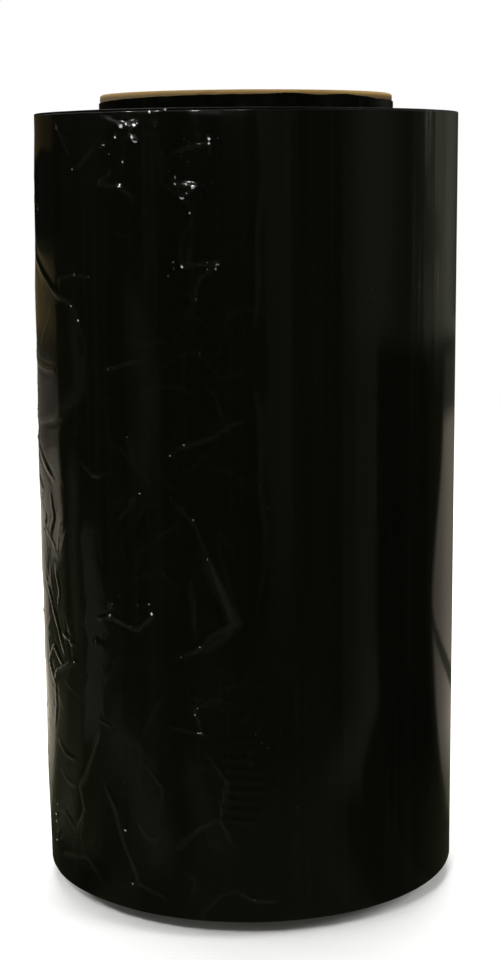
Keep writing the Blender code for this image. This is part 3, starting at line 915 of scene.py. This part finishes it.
class ROLL_OT_film(bpy.types.Operator):
    """Model the wound film with its creased, slack outer turn"""

    bl_idname = "roll.film"
    bl_label = "Wound film"

    def execute(self, context):
        settings = context.scene.roll_film
        deselect()
        piece = add_winding(settings)
        refine_winding(settings)
        point_out()
        piece.name = "film_wrap"
        piece.data.name = "film_wrap"
        shape_winding(piece, settings)
        smooth(piece, 50)
        piece.data.materials.clear()
        piece.data.materials.append(film_material(settings))
        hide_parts("film")
        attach(piece, "root")
        return {"FINISHED"}


def add_floor(settings):
    """A round floor that sweeps up into a low wall all round."""
    bpy.ops.mesh.primitive_circle_add(vertices=96, radius=settings.radius, fill_type="NGON")
    floor = bpy.context.object
    floor.name = "floor"
    edit("FACE")
    bpy.ops.mesh.select_all(action="SELECT")
    bpy.ops.mesh.extrude_region_move(TRANSFORM_OT_translate={"value": (0, 0, settings.height)})
    bpy.ops.mesh.delete(type="FACE")
    select("edges", lambda edge: at_height(edge, 0.0))
    bpy.ops.mesh.edge_face_add()
    select("edges", lambda edge: at_height(edge, 0.0))
    bpy.ops.mesh.bevel(offset=FLOOR_SWEEP, segments=12, affect="EDGES")
    point_out(inside=True)
    smooth(floor, 40)
    return floor


def floor_material(settings):
    material = bpy.data.materials.new("pale_floor")
    nodes = Nodes(material)
    place = nodes.place()
    grain = nodes.noise(place, (40, 40, 40), detail=4)
    pale = nodes.mix(grain, opaque(settings.floor), opaque(settings.floor, 0.985))
    sockets = {"Base Color": pale, "Roughness": 0.7, "Specular IOR Level": 0.2}
    shader = nodes.add("BsdfPrincipled", None, sockets)
    # Far from the roll, the camera, reflections and clear materials see plain white
    x, y, z = nodes.split(place)
    far = (x * x + y * y + z * z * 9.0).math("SQRT").step(0.5, 1.3)
    camera_ray, glossy_ray, clear_ray = (nodes.add("LightPath", output=ray) for ray in (0, 3, 6))
    factor = (camera_ray + glossy_ray + clear_ray).clamp() * far
    white = nodes.add("Emission", None, {"Color": WHITE, "Strength": 1.0})
    nodes.output("Material", nodes.add("MixShader", None, {0: factor, 1: shader, 2: white}))
    return material


def add_flag(settings):
    """A dark wall with an apron on the floor: the film mirrors it, and nothing else sees it."""
    bpy.ops.mesh.primitive_cylinder_add(
        vertices=180, radius=settings.flag_radius, depth=settings.flag_height, end_fill_type="NOTHING",
        location=(0.0, 0.0, settings.flag_height / 2 + FLAG_GAP),
    )
    flag = bpy.context.object
    bpy.ops.object.transform_apply(location=True, rotation=True, scale=True)
    flag.name = "reflection_flag"
    edit("EDGE")
    select("edges", lambda edge: edge.is_boundary and middle(edge).z < FLAG_GAP + MM)
    shrink = FLAG_APRON / settings.flag_radius
    bpy.ops.mesh.extrude_edges_move()
    bpy.ops.transform.resize(value=(shrink, shrink, 1.0), center_override=(0.0, 0.0, 0.0))
    deselect()
    for sight in ("camera", "diffuse", "transmission", "volume_scatter", "shadow"):
        setattr(flag, "visible_" + sight, False)
    return flag


def flag_material(settings):
    """Dark cloth with the soft bands of light that the film mirrors, by direction from the roll and level."""
    material = bpy.data.materials.new("flag_cloth")
    nodes = Nodes(material)
    x, y, z = nodes.split(nodes.place())
    # Here the angle is in radians from the front, and it grows to the right
    angle = x.math("ARCTAN2", x, y * -1.0)
    # The wall's height, carried on as a fall towards the roll over the apron
    level = z - (settings.flag_radius - (x * x + y * y).math("SQRT")) * APRON_FALL
    high = level.step(0.140, 0.160)
    low = 1.0 - high
    foot = level.step(-0.08, -0.12)

    # A window beside the front, and a faint light next to it
    window = angle.band(0.12, 0.20, 0.33, 0.41) * level.step(-0.06, 0.10) * 0.14
    beside = angle.band(0.42, 0.58, 0.65, 0.80) * 0.045

    # The broad band on the right: its edge is soft high up and sharp below, where it sweeps to the front
    swept = angle + level.step(-0.045, -0.09) * 0.26
    edge = (low + angle.step(1.60, 1.16) * high) * (swept.step(1.21, 1.16) * low + high)
    right = swept.step(0.72, 1.08) * edge * (0.19 + high * 0.10 + level.step(0.0, -0.05) * 0.09)
    right *= level.step(-0.10, -0.078)

    # The narrow band on the left, which widens downwards, and the pale upper right
    widened = angle - level.step(0.06, -0.05) * 0.15
    left = angle.step(-1.56, -1.53) * widened.step(-1.46, -1.50) * level.step(0.06, 0.05) * 0.26
    left *= level.step(-0.085, -0.065)
    upper_right = angle.band(1.25, 2.30, 2.15, 2.75) * high * 0.25

    # Light from behind on the right, which a dark bar slants across
    bent = angle - level.step(0.0, 0.10) * 0.22
    behind_right = bent.step(1.96, 2.06) * (level.step(0.11, 0.095) * 0.40 + level.step(0.15, 0.13) * 0.06)
    behind_right *= angle.step(2.95, 2.25)
    past = angle - 1.985
    fall = past.math("MAXIMUM", past, 0.0).math("SQRT") * 0.085
    behind_right *= 1.0 - (level + fall).math("ABSOLUTE").step(0.0095, 0.0055) * 0.85

    # Light from behind on the left
    narrowed = angle + level.step(0.05, 0.02) * level.step(-0.06, -0.03) * 0.22
    behind_left = level.step(0.15, 0.12) * 0.16 + level.step(0.10, 0.06) * 0.40
    behind_left *= narrowed.step(-2.02, -2.12)
    behind_left += angle.step(-1.80, -2.25) * level.step(-0.045, -0.07) * 0.12
    behind = (behind_right + behind_left) * (1.0 - foot * 0.85)

    # The front is a little lighter below, in soft folds on the left, and dark in its lower left corner
    corner = angle.step(-0.85, -1.10) * level.step(-0.116, -0.126)
    folds = (angle * 14.0).math("SINE") + 0.8
    lower = angle.step(0.9, 0.4) * level.step(0.04, -0.09) * 0.06
    lower += folds * angle.step(0.1, -0.2) * level.step(0.14, -0.02) * 0.030
    lower *= 1.0 - corner * 0.8
    lower += angle.band(-0.45, -0.15, 0.55, 0.85) * level.step(-0.07, -0.095) * 0.08
    dark_right = angle.band(1.16, 1.21, 1.85, 1.95) * level.step(0.155, 0.135)
    dark_left = angle.step(-1.7, -2.0) * level.step(0.19, 0.21)
    base = 0.033 + lower + foot * angle.step(-1.10, -0.80) * 0.03
    base -= dark_right * 0.022 + dark_left * 0.028 + corner * 0.018

    # Brown board on the left, above and below a dark gap
    brown = level.step(0.245, 0.25) * 0.06 + level.band(0.14, 0.16, 0.185, 0.195) * 0.15
    brown *= angle.step(-2.0, -2.08)

    pale = window + beside + right + left + upper_right + behind
    red = pale + base * 0.95 + brown
    green = pale * 0.98 - behind * 0.10 + base + brown * 0.68
    blue = pale * 0.80 - behind * 0.08 + base * 0.58 + brown * 0.30
    glow = nodes.add("CombineColor", None, {0: red, 1: green, 2: blue})
    nodes.output("Material", nodes.add("Emission", None, {"Color": glow, "Strength": 1.0}))
    return material


def add_lamp(name, place, target, size, power, mirrored=True):
    lamp = bpy.data.lights.new(name, "AREA")
    lamp.shape = "RECTANGLE"
    lamp.size, lamp.size_y = size
    lamp.energy = power
    stand = bpy.data.objects.new(name, lamp)
    bpy.context.scene.collection.objects.link(stand)
    aim = (Vector(target) - Vector(place)).to_track_quat("-Z", "Y").to_matrix().to_4x4()
    stand.matrix_world = Matrix.Translation(place) @ aim
    stand.visible_camera = False
    stand.visible_glossy = mirrored


def add_spark_lamps(settings):
    """Small bright lamps along the top of the dark wall: raised points of the creased film mirror them."""
    reach = settings.flag_radius + 10 * MM
    height = settings.flag_height + 30 * MM
    for number, angle in enumerate(SPARK_ANGLES):
        turned = math.radians(angle)
        place = (math.sin(turned) * reach, -math.cos(turned) * reach, height)
        add_lamp(f"spark_lamp_{number}", place, SPARK_TARGET, SPARK_SIZE, settings.spark)


def set_world():
    world = bpy.data.worlds.new("studio")
    bpy.context.scene.world = world
    nodes = Nodes(world)
    light = nodes.add("Background", None, {"Color": WORLD_COLOUR, "Strength": WORLD_STRENGTH})
    nodes.output("World", light)


def add_camera(settings):
    yaw, pitch, roll = (math.radians(turn) for turn in (CAMERA_YAW, CAMERA_PITCH, CAMERA_ROLL))
    ahead = math.cos(pitch)
    forward = Vector((math.sin(yaw) * ahead, math.cos(yaw) * ahead, -math.sin(pitch)))
    level = forward.cross(Vector((0, 0, 1))).normalized()
    right = math.cos(roll) * level + math.sin(roll) * level.cross(forward)
    data = bpy.data.cameras.new("photo_camera")
    data.lens = settings.lens
    data.sensor_width = SENSOR_WIDTH
    camera = bpy.data.objects.new("photo_camera", data)
    bpy.context.scene.collection.objects.link(camera)
    turn = Matrix((right, right.cross(forward), -forward)).transposed().to_4x4()
    camera.matrix_world = Matrix.Translation(CAMERA_PLACE) @ turn
    bpy.context.scene.camera = camera


class ROLL_OT_stage(bpy.types.Operator):
    """Add the pale floor, the studio light and the camera"""

    bl_idname = "roll.stage"
    bl_label = "Studio stage"

    def execute(self, context):
        settings = context.scene.roll_stage
        deselect()
        floor = add_floor(settings)
        floor.data.materials.append(floor_material(settings))
        flag = add_flag(settings)
        flag.data.materials.append(flag_material(settings))
        for lamp in LAMPS:
            add_lamp(*lamp)
        add_spark_lamps(settings)
        set_world()
        add_camera(settings)
        context.scene.view_settings.view_transform = "Standard"
        return {"FINISHED"}


GROUPS = {
    "roll_core": (CoreSettings, "roll.core"),
    "roll_film": (FilmSettings, "roll.film"),
    "roll_stage": (StageSettings, "roll.stage"),
}


class ROLL_PT_sidebar(bpy.types.Panel):
    """Sizes and colours of the roll"""

    bl_idname = "ROLL_PT_sidebar"
    bl_label = "Stretch wrap roll"
    bl_space_type = "VIEW_3D"
    bl_region_type = "UI"
    bl_category = "Stretch wrap"

    def draw(self, context):
        for group, (_, operator) in GROUPS.items():
            box = self.layout.box()
            settings = getattr(context.scene, group)
            for name in settings.bl_rna.properties.keys():
                if name not in ("rna_type", "name"):
                    box.prop(settings, name)
            box.operator(operator)


CLASSES = (
    CoreSettings, FilmSettings, StageSettings, ROLL_OT_core, ROLL_OT_film, ROLL_OT_stage, ROLL_PT_sidebar,
)


def register():
    for made in CLASSES:
        bpy.utils.register_class(made)
    for group, (settings, _) in GROUPS.items():
        setattr(bpy.types.Scene, group, PointerProperty(type=settings))


def unregister():
    for group in GROUPS:
        delattr(bpy.types.Scene, group)
    for made in reversed(CLASSES):
        bpy.utils.unregister_class(made)


def main():
    register()
    bpy.ops.roll.core()
    bpy.ops.roll.film()
    bpy.ops.roll.stage()


if __name__ == "__main__":
    main()
